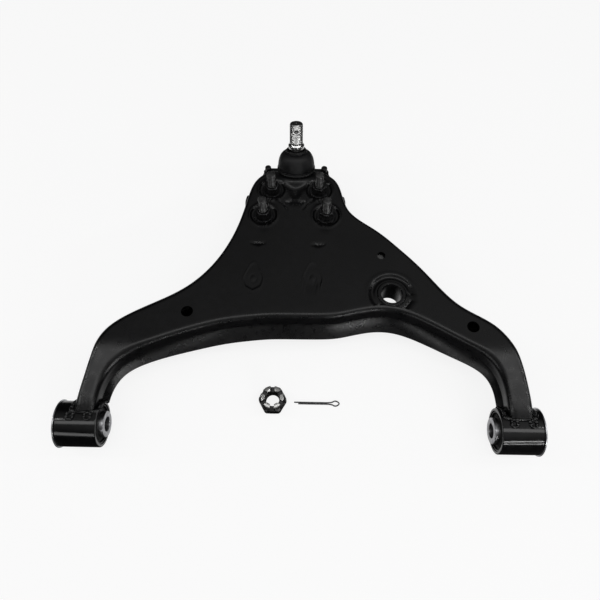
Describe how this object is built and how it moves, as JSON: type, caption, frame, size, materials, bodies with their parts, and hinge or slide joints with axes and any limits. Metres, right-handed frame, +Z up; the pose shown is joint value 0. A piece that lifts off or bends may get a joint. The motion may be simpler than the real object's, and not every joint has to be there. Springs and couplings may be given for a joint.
{
  "type": "control arm",
  "caption": "Wide crescent-shaped pressed steel suspension arm with two rubber bushes, a bolted ball joint, and a loose castle nut and split pin.",
  "frame": {"origin": "middle of the bounding box, on the surface that the part lies on", "axes": "+X along the axis of the two bushes, +Y from the bushes towards the ball joint, +Z up"},
  "size_m": [0.552, 0.4166, 0.1064],
  "materials": {
    "coated_upper": "semi-gloss black coat",
    "coated_lower": "semi-gloss black coat",
    "coated_tube": "semi-gloss black coat",
    "coated_forging": "satin black coat over a forging",
    "coated_link": "semi-gloss black coat",
    "cover": "satin black coat",
    "zinc_sleeve": "bright turned steel",
    "zinc_flange": "pressed zinc-plated steel",
    "bush_rubber": "matte moulded rubber",
    "boot_rubber": "matte moulded rubber",
    "boot_ring": "black spring steel",
    "seat_polymer": "bearing polymer",
    "stud_steel": "zinc-plated with a cut thread",
    "bolt_steel": "black oxide",
    "washer_steel": "black oxide",
    "nut_steel": "black oxide",
    "castle_steel": "black oxide",
    "pin_steel": "drawn wire"
  },
  "bodies": {
    "arm": {"upper_shell": "coated_upper", "lower_shell": "coated_lower", "bush_tube_left": "coated_tube", "bush_tube_right": "coated_tube", "bush_sleeve_left": "zinc_flange", "bush_sleeve_right": "zinc_flange", "bush_rubber_left": "bush_rubber", "bush_rubber_right": "bush_rubber", "link_sleeve": "coated_link", "ball_joint_housing": "coated_forging", "bearing_seat": "seat_polymer", "cover_plate": "cover", "boot_ring_lower": "boot_ring", "bolt_front_left": "bolt_steel", "bolt_front_right": "bolt_steel", "bolt_rear_left": "bolt_steel", "bolt_rear_right": "bolt_steel", "washer_front_left": "washer_steel", "washer_front_right": "washer_steel", "washer_rear_left": "washer_steel", "washer_rear_right": "washer_steel", "nut_front_left": "nut_steel", "nut_front_right": "nut_steel", "nut_rear_left": "nut_steel", "nut_rear_right": "nut_steel"},
    "boot": {"dust_boot": "boot_rubber"},
    "boot_top": {"boot_ring_upper": "boot_ring"},
    "stud": {"ball_stud": "stud_steel"},
    "bush_core_left": {"bush_inner_left": "zinc_sleeve"},
    "bush_core_right": {"bush_inner_right": "zinc_sleeve"},
    "castle_nut": {"castle_nut": "castle_steel"},
    "split_pin": {"split_pin": "pin_steel"}
  },
  "joints": [
    {"name": "stud_swing_fore", "type": "hinge", "parent": "arm", "child": "boot", "pos_m": [-0.01, 0.16755, 0.03046], "axis": [1, 0, 0], "range_deg": [-20, 20], "deforming": ["dust_boot"]},
    {"name": "stud_swing_side", "type": "hinge", "parent": "boot", "child": "boot_top", "pos_m": [-0.01, 0.16755, 0.03046], "axis": [0, 0.9094, -0.416], "range_deg": [-20, 20]},
    {"name": "stud_spin", "type": "hinge", "parent": "boot_top", "child": "stud", "pos_m": [-0.01, 0.16755, 0.03046], "axis": [0, 0.416, 0.9094], "continuous": true},
    {"name": "bush_twist_left", "type": "hinge", "parent": "arm", "child": "bush_core_left", "pos_m": [-0.248, -0.18102, 0.02745], "axis": [1, 0, 0], "range_deg": [-25, 25], "stiffness_Nm_per_rad": 20},
    {"name": "bush_twist_right", "type": "hinge", "parent": "arm", "child": "bush_core_right", "pos_m": [0.248, -0.18102, 0.02745], "axis": [1, 0, 0], "range_deg": [-25, 25], "stiffness_Nm_per_rad": 20},
    {"name": "castle_nut_lift", "type": "slide", "parent": "arm", "child": "castle_nut", "axis": [0, 0, 1], "range_m": [0, 0.08]},
    {"name": "split_pin_lift", "type": "slide", "parent": "arm", "child": "split_pin", "axis": [0, 0, 1], "range_m": [0, 0.08]}
  ],
  "couplings": [
    {"joint": "bush_twist_right", "follows": "bush_twist_left", "ratio": 1}
  ]
}
